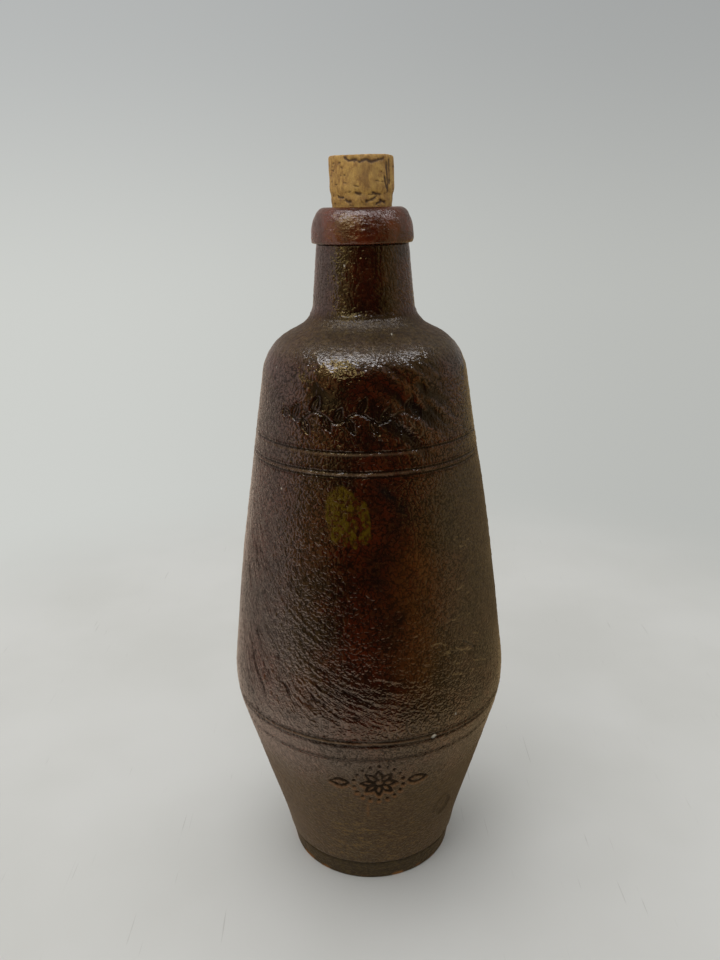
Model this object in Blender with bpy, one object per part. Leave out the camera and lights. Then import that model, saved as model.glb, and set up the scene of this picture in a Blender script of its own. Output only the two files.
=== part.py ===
"""A salt-glazed stoneware bottle with a collar lip and a natural cork that pulls out of the mouth.

Units are metres and +Z is up. The origin is the centre of the foot's resting face, and the
turning axis is Z. Every sub-part is a turned shape: its outline is a list of corners
(radius, height, rounding), and the outline is spun about the axis.
"""

import math

import bmesh
import bpy

MM = 0.001

# Driving dimensions
TURN_STEPS = 64  # facets round the axis
ARC_FACET = math.radians(16)  # the most that one facet of a rounded corner turns
SHARP_ANGLE = math.radians(35)  # edges that turn more than this are shaded as edges
MERGE_DISTANCE = 0.001 * MM
FIT_GAP = 0.3 * MM  # between neighbouring pieces

FOOT_RADIUS = 33.0 * MM
FOOT_BAND_RADIUS = 34.8 * MM
FOOT_BAND_HEIGHT = 9.1 * MM
FOOT_STEP = 0.5 * MM  # the cone overhangs the foot band by this much
FOOT_EDGE = 0.8 * MM
CONE_BEND_RADIUS = 37.1 * MM  # the lower cone steepens below this ring
CONE_BEND_HEIGHT = 18.0 * MM
CONE_BEND_ROUNDING = 60.0 * MM
WAIST_RADIUS = 55.1 * MM  # where the lower cone and the upper wall would meet if not rounded
WAIST_HEIGHT = 79.9 * MM
WAIST_ROUNDING = 48.0 * MM
UPPER_WALL_RADIUS = 48.25 * MM  # at mid height, so that the upper wall is slightly convex
UPPER_WALL_HEIGHT = 138.0 * MM
UPPER_WALL_ROUNDING = 900.0 * MM
SHOULDER_RADIUS = 36.15 * MM
SHOULDER_HEIGHT = 213.1 * MM
SHOULDER_ROUNDING = 19.0 * MM
NECK_BASE_RADIUS = 18.9 * MM
NECK_BASE_HEIGHT = 221.9 * MM
NECK_BASE_ROUNDING = 10.5 * MM
NECK_RADIUS = 16.5 * MM  # just under the collar
COLLAR_UNDERSIDE = 248.4 * MM
COLLAR_RADIUS = 18.2 * MM
COLLAR_WIDEST = 250.5 * MM
COLLAR_STEPS = 7  # facets of the collar's round side
COLLAR_TAPER = 0.15 * MM  # the collar draws in by this much below its widest ring
COLLAR_EDGE = 0.5 * MM  # the flat on its lower edge
COLLAR_EDGE_RISE = 0.6 * MM
LIP_FLAT_RADIUS = 13.4 * MM  # the collar's rounding ends here, on the flat of the lip
LIP_HEIGHT = 260.4 * MM
BORE_RADIUS = 10.8 * MM
MOUTH_EDGE = 0.8 * MM  # the eased edge where the bore meets the lip
MOUTH_EDGE_INSET = 0.25 * MM

WALL = 5.5 * MM
FLOOR = 7.0 * MM
FLOOR_RADIUS = 29.0 * MM  # where the hollow's floor would meet its side if not rounded
FLOOR_ROUNDING = 8.0 * MM
# The wall is measured square to the surface, so each corner moves in and down by its own share of it
WAIST_INWARD = 1.06 * WALL
SHOULDER_INWARD = 0.9 * WALL
SHOULDER_DOWNWARD = 0.7 * WALL
NECK_DOWNWARD = 0.45 * WALL
THROAT_ROUNDING = 4.0 * MM

SPIGOT_RADIUS = 14.0 * MM  # the neck's cut end, inside the collar
SPIGOT_TOP = LIP_HEIGHT - 2.9 * MM

CORK_LENGTH = 38.0 * MM
CORK_TOP = 277.2 * MM
CORK_HEAD_RADIUS = 11.25 * MM
CORK_SHANK_RADIUS = BORE_RADIUS - FIT_GAP
CORK_NIP_HEIGHT = 261.2 * MM  # the head starts to swell here
CORK_SWELL = 4.0 * MM
CORK_EDGE = 1.0 * MM
CORK_NIP_ROUNDING = 4.0 * MM

GROOVE_WIDTH = 1.2 * MM
GROOVE_DEPTH = 0.4 * MM
GROOVE_HEIGHTS = (70.2 * MM, 78.1 * MM, 175.7 * MM, 182.5 * MM)


def rounded(corners):
    """The outline through corners (radius, height, rounding), each rounded by an arc."""
    outline = []
    for index, (radius, height, rounding) in enumerate(corners):
        if rounding == 0:
            outline.append((radius, height))
            continue
        before = corners[index - 1]
        after = corners[(index + 1) % len(corners)]
        outline.extend(arc_at((radius, height), before, after, rounding))
    return outline


def arc_at(corner, before, after, rounding):
    """Points of the arc of that radius which touches both sides of a corner."""
    to_before = unit(before[0] - corner[0], before[1] - corner[1])
    to_after = unit(after[0] - corner[0], after[1] - corner[1])
    opening = math.acos(to_before[0] * to_after[0] + to_before[1] * to_after[1])
    reach = rounding / math.tan(opening / 2)
    bisector = unit(to_before[0] + to_after[0], to_before[1] + to_after[1])
    depth = rounding / math.sin(opening / 2)
    centre = (corner[0] + bisector[0] * depth, corner[1] + bisector[1] * depth)
    start = (corner[0] + to_before[0] * reach, corner[1] + to_before[1] * reach)
    end = (corner[0] + to_after[0] * reach, corner[1] + to_after[1] * reach)
    first = math.atan2(start[1] - centre[1], start[0] - centre[0])
    last = math.atan2(end[1] - centre[1], end[0] - centre[0])
    sweep = (last - first + math.pi) % (2 * math.pi) - math.pi
    facets = max(2, math.ceil(abs(sweep) / ARC_FACET))
    points = []
    for step in range(facets + 1):
        angle = first + sweep * step / facets
        points.append((centre[0] + rounding * math.cos(angle), centre[1] + rounding * math.sin(angle)))
    return points


def unit(x, y):
    length = math.hypot(x, y)
    return x / length, y / length


def radius_at(outline, height):
    """The wall's radius where a falling outline passes a height."""
    for (high_radius, high), (low_radius, low) in zip(outline, outline[1:]):
        if high >= height >= low and high > low:
            share = (high - height) / (high - low)
            return high_radius + share * (low_radius - high_radius)
    raise ValueError("the outline never passes that height")


def with_groove(outline, height):
    """The falling outline with one V groove turned into it."""
    top = height + GROOVE_WIDTH / 2
    bottom = height - GROOVE_WIDTH / 2
    above = [point for point in outline if point[1] > top]
    below = [point for point in outline if point[1] < bottom]
    groove = [
        (radius_at(outline, top), top),
        (radius_at(outline, height) - GROOVE_DEPTH, height),
        (radius_at(outline, bottom), bottom),
    ]
    return above + groove + below


def turned(name, outline, closed, material):
    """An object made by spinning an outline that runs down its outer side."""
    spun = bmesh.new()
    points = [spun.verts.new((radius, 0, height)) for radius, height in outline]
    edges = [spun.edges.new(pair) for pair in zip(points, points[1:])]
    if closed:
        edges.append(spun.edges.new((points[-1], points[0])))
    bmesh.ops.spin(
        spun,
        geom=points + edges,
        axis=(0, 0, 1),
        cent=(0, 0, 0),
        angle=2 * math.pi,
        steps=TURN_STEPS,
        use_merge=True,
    )
    bmesh.ops.remove_doubles(spun, verts=spun.verts, dist=MERGE_DISTANCE)
    bmesh.ops.recalc_face_normals(spun, faces=spun.faces)
    mesh = bpy.data.meshes.new(name)
    spun.to_mesh(mesh)
    spun.free()
    mesh.shade_smooth()
    mesh.set_sharp_from_angle(angle=SHARP_ANGLE)
    mesh.materials.append(material)
    made = bpy.data.objects.new(name, mesh)
    bpy.context.scene.collection.objects.link(made)
    return made


def outer_wall():
    """The bottle's outside, from the neck under the collar down to the foot."""
    wall = rounded(
        [
            (NECK_RADIUS, COLLAR_UNDERSIDE - FIT_GAP, 0),
            (NECK_BASE_RADIUS, NECK_BASE_HEIGHT, NECK_BASE_ROUNDING),
            (SHOULDER_RADIUS, SHOULDER_HEIGHT, SHOULDER_ROUNDING),
            (UPPER_WALL_RADIUS, UPPER_WALL_HEIGHT, UPPER_WALL_ROUNDING),
            (WAIST_RADIUS, WAIST_HEIGHT, WAIST_ROUNDING),
            (CONE_BEND_RADIUS, CONE_BEND_HEIGHT, CONE_BEND_ROUNDING),
            (FOOT_BAND_RADIUS + FOOT_STEP, FOOT_BAND_HEIGHT + FOOT_STEP, 0),
        ]
    )
    for height in GROOVE_HEIGHTS:
        wall = with_groove(wall, height)
    return wall


def foot_band():
    """The turned band that the bottle stands on, and its flat underside."""
    return rounded(
        [
            (FOOT_BAND_RADIUS, FOOT_BAND_HEIGHT, 0),
            (FOOT_RADIUS, 0, FOOT_EDGE),
            (0, 0, 0),
        ]
    )


def inner_wall():
    """The hollow, from the middle of the floor up to the neck's cut end."""
    return rounded(
        [
            (0, FLOOR, 0),
            (FLOOR_RADIUS, FLOOR, FLOOR_ROUNDING),
            (WAIST_RADIUS - WAIST_INWARD, WAIST_HEIGHT, WAIST_ROUNDING),
            (
                SHOULDER_RADIUS - SHOULDER_INWARD,
                SHOULDER_HEIGHT - SHOULDER_DOWNWARD,
                SHOULDER_ROUNDING - WALL,
            ),
            (BORE_RADIUS, NECK_BASE_HEIGHT - NECK_DOWNWARD, THROAT_ROUNDING),
            (BORE_RADIUS, SPIGOT_TOP, 0),
        ]
    )


def stoneware_body(material):
    spigot = [
        (SPIGOT_RADIUS, SPIGOT_TOP),
        (SPIGOT_RADIUS, COLLAR_UNDERSIDE - FIT_GAP),
    ]
    outline = inner_wall() + spigot + outer_wall() + foot_band()
    return turned("stoneware_body", outline, False, material)


def collar_round():
    """The collar's outside: a quarter of an ellipse from the flat of the lip to its widest ring."""
    across = COLLAR_RADIUS - LIP_FLAT_RADIUS
    rise = LIP_HEIGHT - COLLAR_WIDEST
    points = []
    for step in range(COLLAR_STEPS + 1):
        angle = math.pi / 2 * (1 - step / COLLAR_STEPS)
        radius = LIP_FLAT_RADIUS + across * math.cos(angle)
        height = COLLAR_WIDEST + rise * math.sin(angle)
        points.append((radius, height))
    return points


def lip_collar(material):
    spigot_bore = SPIGOT_RADIUS + FIT_GAP
    underside = [
        (COLLAR_RADIUS - COLLAR_TAPER, COLLAR_UNDERSIDE + COLLAR_EDGE_RISE),
        (COLLAR_RADIUS - COLLAR_EDGE, COLLAR_UNDERSIDE),
        (spigot_bore, COLLAR_UNDERSIDE),
    ]
    inside = [
        (spigot_bore, SPIGOT_TOP + FIT_GAP),
        (BORE_RADIUS, SPIGOT_TOP + FIT_GAP),
        (BORE_RADIUS, LIP_HEIGHT - MOUTH_EDGE),
        (BORE_RADIUS + MOUTH_EDGE_INSET, LIP_HEIGHT - MOUTH_EDGE_INSET),
        (BORE_RADIUS + MOUTH_EDGE, LIP_HEIGHT),
    ]
    return turned("lip_collar", collar_round() + underside + inside, True, material)


def cork_stopper(material):
    """The cork: a shank squeezed by the bore, and a head that has swelled back to full size."""
    bottom = CORK_TOP - CORK_LENGTH
    outline = rounded(
        [
            (0, CORK_TOP, 0),
            (CORK_HEAD_RADIUS, CORK_TOP, CORK_EDGE),
            (CORK_HEAD_RADIUS, CORK_NIP_HEIGHT + CORK_SWELL, CORK_NIP_ROUNDING),
            (CORK_SHANK_RADIUS, CORK_NIP_HEIGHT, CORK_NIP_ROUNDING),
            (CORK_SHANK_RADIUS, bottom, CORK_EDGE),
            (0, bottom, 0),
        ]
    )
    return turned("cork_stopper", outline, False, material)


def surface(name, color, roughness):
    """A Principled material of one colour."""
    material = bpy.data.materials.new(name)
    material.use_nodes = True
    shader = material.node_tree.nodes["Principled BSDF"]
    shader.inputs["Base Color"].default_value = (*color, 1)
    shader.inputs["Roughness"].default_value = roughness
    shader.inputs["Metallic"].default_value = 0
    material.diffuse_color = (*color, 1)
    return material


def clear_scene():
    for existing in list(bpy.data.objects):
        bpy.data.objects.remove(existing)


def build():
    clear_scene()
    glaze = surface("brown_salt_glaze", (0.085, 0.032, 0.016), 0.28)
    lip_glaze = surface("red_lip_glaze", (0.13, 0.026, 0.012), 0.2)
    cork = surface("cork", (0.50, 0.30, 0.13), 0.8)
    stoneware_body(glaze)
    lip_collar(lip_glaze)
    stopper = cork_stopper(cork)
    # The cork hangs from an empty on the bottle's axis, at the lip, which is the line it slides on.
    slide = bpy.data.objects.new("cork_slide", None)
    slide.location = (0, 0, LIP_HEIGHT)
    bpy.context.scene.collection.objects.link(slide)
    stopper.parent = slide
    stopper.location = (0, 0, -LIP_HEIGHT)


build()
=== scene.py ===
"""The looks of a corked, salt-glazed stoneware bottle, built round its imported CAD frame.

Units are metres and +Z is up. The bottle's axis is Z and its decorated side faces -Y, so an
azimuth of 0 is the front and azimuths grow towards +X. Outlines, relief and marks are worked out
in millimetres. Marks on the wall are placed by (across, height), where across is the distance
round the wall from the front line.
"""

import itertools
import math

import bpy
import numpy as np
from mathutils import Matrix, Vector


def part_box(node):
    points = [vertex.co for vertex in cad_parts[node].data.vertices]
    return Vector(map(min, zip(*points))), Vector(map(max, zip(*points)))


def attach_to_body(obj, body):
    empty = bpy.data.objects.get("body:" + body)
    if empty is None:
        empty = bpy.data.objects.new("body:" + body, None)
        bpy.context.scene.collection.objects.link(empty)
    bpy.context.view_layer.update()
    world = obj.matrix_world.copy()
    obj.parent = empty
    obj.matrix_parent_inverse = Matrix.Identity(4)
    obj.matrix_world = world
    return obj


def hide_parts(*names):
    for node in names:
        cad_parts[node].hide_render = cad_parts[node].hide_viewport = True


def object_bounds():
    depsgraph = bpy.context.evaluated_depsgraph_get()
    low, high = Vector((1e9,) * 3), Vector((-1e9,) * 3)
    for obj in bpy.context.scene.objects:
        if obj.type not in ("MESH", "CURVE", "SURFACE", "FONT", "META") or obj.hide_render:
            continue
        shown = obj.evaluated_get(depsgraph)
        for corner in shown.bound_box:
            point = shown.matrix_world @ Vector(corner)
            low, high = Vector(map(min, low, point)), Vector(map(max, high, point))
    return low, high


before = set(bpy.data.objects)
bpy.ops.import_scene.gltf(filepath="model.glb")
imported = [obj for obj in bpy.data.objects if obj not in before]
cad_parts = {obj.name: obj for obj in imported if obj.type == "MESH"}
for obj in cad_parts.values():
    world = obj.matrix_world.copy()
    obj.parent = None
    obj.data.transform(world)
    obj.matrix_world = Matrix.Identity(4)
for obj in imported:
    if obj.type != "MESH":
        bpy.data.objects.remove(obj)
CAD_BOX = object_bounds()
BODY_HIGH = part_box("stoneware_body")[1]
COLLAR_LOW, COLLAR_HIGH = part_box("lip_collar")
CORK_LOW, CORK_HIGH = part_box("cork_stopper")

MM = 0.001
SEED = 7

# Sizes that the frame's boxes give, in millimetres
COLLAR_UNDERSIDE = COLLAR_LOW.z / MM
LIP_HEIGHT = COLLAR_HIGH.z / MM
COLLAR_RADIUS = COLLAR_HIGH.x / MM
SPIGOT_TOP = BODY_HIGH.z / MM
BODY_RADIUS = BODY_HIGH.x / MM
CORK_TOP = CORK_HIGH.z / MM
CORK_BOTTOM = CORK_LOW.z / MM
CORK_HEAD_RADIUS = CORK_HIGH.x / MM

# Sizes that the boxes leave open, in millimetres
FIT_GAP = 0.3
BORE_RADIUS = 10.8
SPIGOT_RADIUS = 14.0
LIP_FLAT_RADIUS = 13.4
COLLAR_WIDEST_HEIGHT = 250.5
WALL = 5.5
FLOOR = 7.0
BODY_FAN_RADIUS = 0.6
CORK_FAN_RADIUS = 0.4

# Corners of the bottle's outline before they are rounded, as (radius, height)
NECK_BASE = (18.9, 221.9)
SHOULDER = (36.15, 213.1)
WAIST = (55.1, 79.9)
FOOT_EDGE = (35.3, 9.6)

# The turner's lines: height, depth, and whether the burr at the lower edge gets a pale painted highlight
TURNED_LINES = (
    (182.5, 0.20, True),
    (175.9, 0.22, True),
    (174.2, 0.17, False),
    (78.9, 0.22, True),
    (77.1, 0.25, False),
    (70.2, 0.20, False),
)
LINE_HALF_WIDTH = 0.45
STEM_HALF_WIDTH = 0.50
BURR_OFFSET = 1.9  # from the middle of a cut to its burr, in half widths of the cut


# ---------------------------------------------------------------- noise and small helpers


def lattice(cell, seed):
    """A repeatable random number from -1 to 1 for each lattice point."""
    mixed = cell[..., 0] * 374761393 + cell[..., 1] * 668265263 + cell[..., 2] * 2147483647
    mixed = mixed + seed * 144665
    mixed = (mixed ^ (mixed >> 13)) * 1274126177
    mixed = mixed ^ (mixed >> 16)
    return (mixed & 0xFFFF) / 32767.5 - 1


def noise(points, size, seed):
    """Smooth noise from about -1 to 1 at points in millimetres, with lumps of that size."""
    shrunk = points / size
    cell = np.floor(shrunk).astype(np.int64)
    share = shrunk - cell
    share = share * share * (3 - 2 * share)
    total = np.zeros(points.shape[:-1])
    for corner in itertools.product((0, 1), repeat=3):
        weight = np.ones(points.shape[:-1])
        for axis in range(3):
            weight = weight * (share[..., axis] if corner[axis] else 1 - share[..., axis])
        total = total + weight * lattice(cell + np.array(corner), seed)
    return total


def stretched(points, x, y, z):
    """Points for noise whose lumps are longer along the axes with a small factor."""
    return points * np.array([x, y, z])


def smooth(low, high, value):
    """0 below low, 1 above high, and a smooth step between them; low may be the larger one."""
    share = np.clip((value - low) / (high - low), 0, 1)
    return share * share * (3 - 2 * share)


def bump_at(value, centre, width):
    """A bell of height 1 round a centre."""
    return np.exp(-(((value - centre) / width) ** 2))


def unit(x, y):
    length = math.hypot(x, y)
    return x / length, y / length


# ---------------------------------------------------------------- outlines


def rounded(corners, facet=math.radians(1.5)):
    """The outline through corners (radius, height, rounding), each rounded by a fine arc."""
    outline = []
    for index, (radius, height, rounding) in enumerate(corners):
        if rounding == 0:
            outline.append((radius, height))
            continue
        outline.extend(arc_at(corners[index - 1], corners[index], corners[index + 1], facet))
    return outline


def arc_at(before, corner, after, facet):
    """Points of the arc which touches both sides of a corner."""
    radius, height, rounding = corner
    to_before = unit(before[0] - radius, before[1] - height)
    to_after = unit(after[0] - radius, after[1] - height)
    opening = math.acos(to_before[0] * to_after[0] + to_before[1] * to_after[1])
    reach = rounding / math.tan(opening / 2)
    bisector = unit(to_before[0] + to_after[0], to_before[1] + to_after[1])
    depth = rounding / math.sin(opening / 2)
    centre = (radius + bisector[0] * depth, height + bisector[1] * depth)
    start = (radius + to_before[0] * reach, height + to_before[1] * reach)
    end = (radius + to_after[0] * reach, height + to_after[1] * reach)
    first = math.atan2(start[1] - centre[1], start[0] - centre[0])
    last = math.atan2(end[1] - centre[1], end[0] - centre[0])
    whole = (last - first + math.pi) % (2 * math.pi) - math.pi
    facets = max(3, math.ceil(abs(whole) / facet))
    turns = [first + whole * step / facets for step in range(facets + 1)]
    return [(centre[0] + rounding * math.cos(t), centre[1] + rounding * math.sin(t)) for t in turns]


def respaced(outline, spacing):
    """The outline resampled. spacing is a length, or a function of heights and radii."""
    points = np.array(outline, float)
    steps = np.hypot(*np.diff(points, axis=0).T)
    along = np.concatenate([[0], np.cumsum(steps)])
    fine = np.linspace(0, along[-1], int(along[-1] / 0.02))
    radius = np.interp(fine, along, points[:, 0])
    height = np.interp(fine, along, points[:, 1])
    gap = spacing(height[1:], radius[1:]) if callable(spacing) else spacing
    rows = np.concatenate([[0], np.cumsum(np.diff(fine) / gap)])
    wanted = np.linspace(0, rows[-1], max(2, int(round(rows[-1]))) + 1)
    at = np.interp(wanted, rows, fine)
    return np.stack([np.interp(at, fine, radius), np.interp(at, fine, height)], -1)


def outer_wall():
    """The bottle's outside from the collar down to the edge over the foot band."""
    wall = rounded(
        [
            (16.5, COLLAR_UNDERSIDE - FIT_GAP, 0),
            (*NECK_BASE, 10.5),
            (*SHOULDER, 19.0),
            (48.25, 138.0, 900.0),
            (*WAIST, 48.0),
            (37.1, 18.0, 60.0),
            (*FOOT_EDGE, 0),
        ]
    )
    points = np.array(wall)
    points[:, 0] *= BODY_RADIUS / points[:, 0].max()
    return points


def foot_outline():
    """From the edge over the foot band down to the underside, which dishes a little."""
    return rounded(
        [
            (*FOOT_EDGE, 0),
            (34.2, 9.1, 0),
            (33.7, 8.7, 0),
            (34.4, 7.7, 0),
            (33.0, 0, 0.9),
            (30.0, 0, 0),
            (28.0, 0.25, 0),
            (BODY_FAN_RADIUS, 0.35, 0),
        ],
        math.radians(12),
    )


def hollow_outline():
    """The inside, from the middle of the floor up to the cut end of the neck and down its spigot."""
    inside = rounded(
        [
            (BODY_FAN_RADIUS, FLOOR, 0),
            (29.0, FLOOR, 8.0),
            (WAIST[0] - 1.06 * WALL, WAIST[1], 48.0),
            (SHOULDER[0] - 0.9 * WALL, SHOULDER[1] - 0.7 * WALL, 13.5),
            (BORE_RADIUS, NECK_BASE[1] - 0.45 * WALL, 4.0),
            (BORE_RADIUS, SPIGOT_TOP, 0),
        ],
        math.radians(6),
    )
    return inside + [(SPIGOT_RADIUS, SPIGOT_TOP), (SPIGOT_RADIUS, COLLAR_UNDERSIDE - FIT_GAP)]


def normals_of(outline, closed):
    """The outward normals (radial, upward) of an outline that runs down its outer side."""
    before, after = (outline[-1:], outline[:1]) if closed else (outline[:1], outline[-1:])
    wrapped = np.concatenate([before, outline, after])
    run = wrapped[2:] - wrapped[:-2]
    run = run / np.maximum(np.hypot(run[:, 0], run[:, 1]), 1e-9)[:, None]
    return np.stack([-run[:, 1], run[:, 0]], -1)


# ---------------------------------------------------------------- meshes


def turned_grid(outline, azimuths):
    """Pairs (radial, upward) spun about the axis: a grid (rows, columns, 3)."""
    out, up = outline[:, 0][:, None], outline[:, 1][:, None]
    turn = azimuths[None, :]
    return np.stack([out * np.sin(turn), -out * np.cos(turn), up + 0 * turn], -1)


def spun(outline, azimuths, closed):
    """An outline spun about the axis: its points in millimetres, and their outward normals."""
    return turned_grid(outline, azimuths), turned_grid(normals_of(outline, closed), azimuths)


def grid_faces(rows, columns, closed):
    """Quads of a grid that wraps round its columns, and over its rows too if it is closed."""
    row = np.arange(rows if closed else rows - 1)[:, None]
    column = np.arange(columns)[None, :]
    right = (column + 1) % columns
    below = (row + 1) % rows
    places = ((row, column), (below, column), (below, right), (row, right))
    corners = [place_row * columns + place_column for place_row, place_column in places]
    return np.stack(np.broadcast_arrays(*corners), -1).reshape(-1, 4)


def mesh_piece(name, grid, closed, marks, material):
    """An object from a wrapped grid in millimetres; an open grid is closed by a fan at each end."""
    rows, columns = grid.shape[:2]
    points = grid.reshape(-1, 3)
    faces = grid_faces(rows, columns, closed).tolist()
    if not closed:
        first, last = len(points), len(points) + 1
        points = np.concatenate([points, grid[0].mean(0)[None], grid[-1].mean(0)[None]])
        end = (rows - 1) * columns
        for column in range(columns):
            right = (column + 1) % columns
            faces.append((first, column, right))
            faces.append((last, end + right, end + column))
    mesh = bpy.data.meshes.new(name)
    mesh.from_pydata((points * MM).tolist(), [], faces)
    mesh.shade_smooth()
    for mark_name, values in marks.items():
        padded = np.zeros(len(points), np.float32)
        padded[: values.size] = values.ravel()
        mesh.attributes.new(mark_name, "FLOAT", "POINT").data.foreach_set("value", padded)
    mesh.materials.append(material)
    mesh.validate()
    return linked(name, mesh)


def linked(name, data):
    """A new object in the scene."""
    thing = bpy.data.objects.new(name, data)
    bpy.context.scene.collection.objects.link(thing)
    return thing


def spaced_azimuths(front_half, front_step, back_step):
    """Azimuths round the axis, closer together on the decorated front."""
    front = np.arange(-front_half, front_half, front_step)
    back_count = int(round((360 - 2 * front_half) / back_step))
    back = front_half + (360 - 2 * front_half) * np.arange(back_count) / back_count
    return np.radians(np.concatenate([front, back]))


def degrees_of(azimuths, grid):
    """The azimuth of each point of a grid, from -180 to 180 degrees."""
    wrapped = (np.degrees(azimuths) + 180) % 360 - 180
    return np.broadcast_to(wrapped[None, :], grid.shape[:2])


# ---------------------------------------------------------------- drawn strokes


def leaf(base, tip, width, midrib=True):
    """The two curved edges of a pointed leaf, and its midrib."""
    base, tip = np.array(base, float), np.array(tip, float)
    along = tip - base
    across = np.array([-along[1], along[0]]) / np.hypot(*along)
    share = np.linspace(0, 1, 14)[:, None]
    swell = np.sin(math.pi * share**0.8) * width
    edges = [base + along * share + across * swell, base + along * share - across * swell]
    if midrib:
        edges.append(base + along * share[:11])
    return edges


def curl(centre, radius, start, turns):
    """A spiral that winds in to its centre."""
    share = np.linspace(0, 1, 30)
    angle = math.radians(start) + 2 * math.pi * turns * share
    reach = radius * (1 - 0.85 * share)
    return [np.stack([centre[0] + reach * np.cos(angle), centre[1] + reach * np.sin(angle)], -1)]


def sweep(start, end, sag, waves=0.5):
    """A stroke that bows, or waves, between two points."""
    share = np.linspace(0, 1, 40)
    across = start[0] + (end[0] - start[0]) * share
    height = start[1] + (end[1] - start[1]) * share - sag * np.sin(2 * math.pi * waves * share)
    return [np.stack([across, height], -1)]


def stroke_distance(across, height, strokes):
    """How far each point is from the nearest stroke, in millimetres."""
    nearest = np.full(across.shape, 1e6)
    for stroke in strokes:
        for start, end in zip(stroke[:-1], stroke[1:]):
            run = end - start
            length = max(float(run @ run), 1e-9)
            share = ((across - start[0]) * run[0] + (height - start[1]) * run[1]) / length
            share = np.clip(share, 0, 1)
            gap = np.hypot(across - start[0] - share * run[0], height - start[1] - share * run[1])
            nearest = np.minimum(nearest, gap)
    return nearest


def drawn(across, height, low, high, strokes):
    """The distance to strokes, worked out only inside a rectangle that holds them."""
    inside = (across > low[0]) & (across < high[0]) & (height > low[1]) & (height < high[1])
    distance = np.full(across.shape, 1e3)
    distance[inside] = stroke_distance(across[inside], height[inside], strokes)
    return distance


def ellipse(across, height, centre, half, lean=0):
    """Below 1 inside a leaning ellipse."""
    turn = math.radians(lean)
    x = (across - centre[0]) * math.cos(turn) + (height - centre[1]) * math.sin(turn)
    y = -(across - centre[0]) * math.sin(turn) + (height - centre[1]) * math.cos(turn)
    return np.hypot(x / half[0], y / half[1])


def spots(across, height, places, outer, flat=1.0, lean=0):
    """Small oval marks from 0 to 1, each given by its centre and half width, which fade out at outer."""
    marks = np.zeros(across.shape)
    for centre, size in places:
        reach = ellipse(across, height, centre, (size, size * flat), lean)
        marks = np.maximum(marks, smooth(outer, 0.6, reach))
    return marks


def incised(distance, depth, half_width):
    """A cut line with a small burr pushed up on both sides."""
    burr = 0.28 * depth * bump_at(distance, BURR_OFFSET * half_width, 0.8 * half_width)
    return burr - depth * bump_at(distance, 0, half_width)


def burred(distance, half_width):
    """Where a cut line's burrs stand, from 0 to 1."""
    return bump_at(distance, BURR_OFFSET * half_width, 0.9 * half_width)


# ---------------------------------------------------------------- ornament of the front

GARLAND_START = (-29.0, 193.6)
GARLAND_END = (16.0, 193.6)
GARLAND_RISE = 1.7
GARLAND_WAVES = 3
GARLAND_LEAVES = 11
ROSETTE_CENTRE = (2.6, 57.4)
ROSETTE_PETALS = 8
ROSETTE_DOTS = 18
# The stamp's rectangle on the wall, and the oval seal beside it
STAMP_LOW = (-22, 42)
STAMP_HIGH = (28, 74)
SEAL_CENTRE = (31.0, 33.6)
SEAL_HALF = (3.8, 6.0)
SEAL_LEAN = -28


def garland():
    """A waving stem with pointed leaves above and below it in turn, and a curl at each end."""
    start, end = GARLAND_START, GARLAND_END
    strokes = sweep(start, end, GARLAND_RISE, GARLAND_WAVES)
    for index in range(GARLAND_LEAVES):
        share = (index + 0.5) / GARLAND_LEAVES
        across = start[0] + (end[0] - start[0]) * share
        height = start[1] - GARLAND_RISE * math.sin(2 * math.pi * GARLAND_WAVES * share)
        side = 1 if index % 2 == 0 else -1
        strokes += leaf((across, height), (across + 2.4, height + side * 5.0), 1.2)
    strokes += curl((start[0] - 1.6, start[1]), 1.8, 0, 1.3)
    strokes += curl((end[0] + 1.6, end[1]), 1.8, 180, -1.3)
    return strokes


def around(centre, radius, degrees):
    """The point at that distance and direction from a centre."""
    turn = math.radians(degrees)
    return centre[0] + radius * math.sin(turn), centre[1] + radius * math.cos(turn)


def rosette():
    """A rosette of petals in a ring of dots, with one leaf lying out to each side."""
    strokes = []
    for index in range(ROSETTE_PETALS):
        angle = 360 * index / ROSETTE_PETALS
        base = around(ROSETTE_CENTRE, 1.6, angle)
        strokes += leaf(base, around(ROSETTE_CENTRE, 6.6, angle), 1.25, False)
    for index in range(ROSETTE_DOTS):
        angle = 360 * index / ROSETTE_DOTS
        dot = [around(ROSETTE_CENTRE, 9.2, angle), around(ROSETTE_CENTRE, 9.4, angle)]
        strokes.append(np.array(dot))
    for side in (-1, 1):
        base = (ROSETTE_CENTRE[0] + side * 11.4, ROSETTE_CENTRE[1])
        strokes += leaf(base, (base[0] + side * 7.0, base[1]), 1.7, False)
    return strokes


def stamped(across, height, points):
    """The dark stamp: how deep its marks are, and the rusty edge under them, from 0 to 1."""
    distance = drawn(across, height, STAMP_LOW, STAMP_HIGH, rosette())
    lower = drawn(across, height + 1.0, STAMP_LOW, STAMP_HIGH, rosette())
    broken = 0.32 * noise(points, 1.1, 71) + 0.22 * noise(points, 4.0, 72)
    fill = smooth(0.85, 0.35, distance + broken)
    rust = smooth(1.4, 0.5, lower + broken) * (1 - fill) * smooth(66, 50, height)
    run = bump_at(across, -1.6, 0.5) * smooth(37, 40, height) * smooth(47, 44, height)
    return fill, np.clip(rust + 0.7 * run, 0, 1)


def oval_seal(across, height):
    """A small oval seal, a raised rim round a plain boss: its relief, and darkening in the corners just
    inside and outside the rim.
    """
    reach = ellipse(across, height, SEAL_CENTRE, SEAL_HALF, SEAL_LEAN)
    dish = smooth(0.95, 0.7, reach)
    lift = 0.42 * bump_at(reach, 1.0, 0.13) - 0.26 * dish + 0.24 * bump_at(reach, 0, 0.35)
    return lift, np.maximum(bump_at(reach, 0.80, 0.10), 0.8 * bump_at(reach, 1.22, 0.08))


# ---------------------------------------------------------------- relief of the wall

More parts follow.
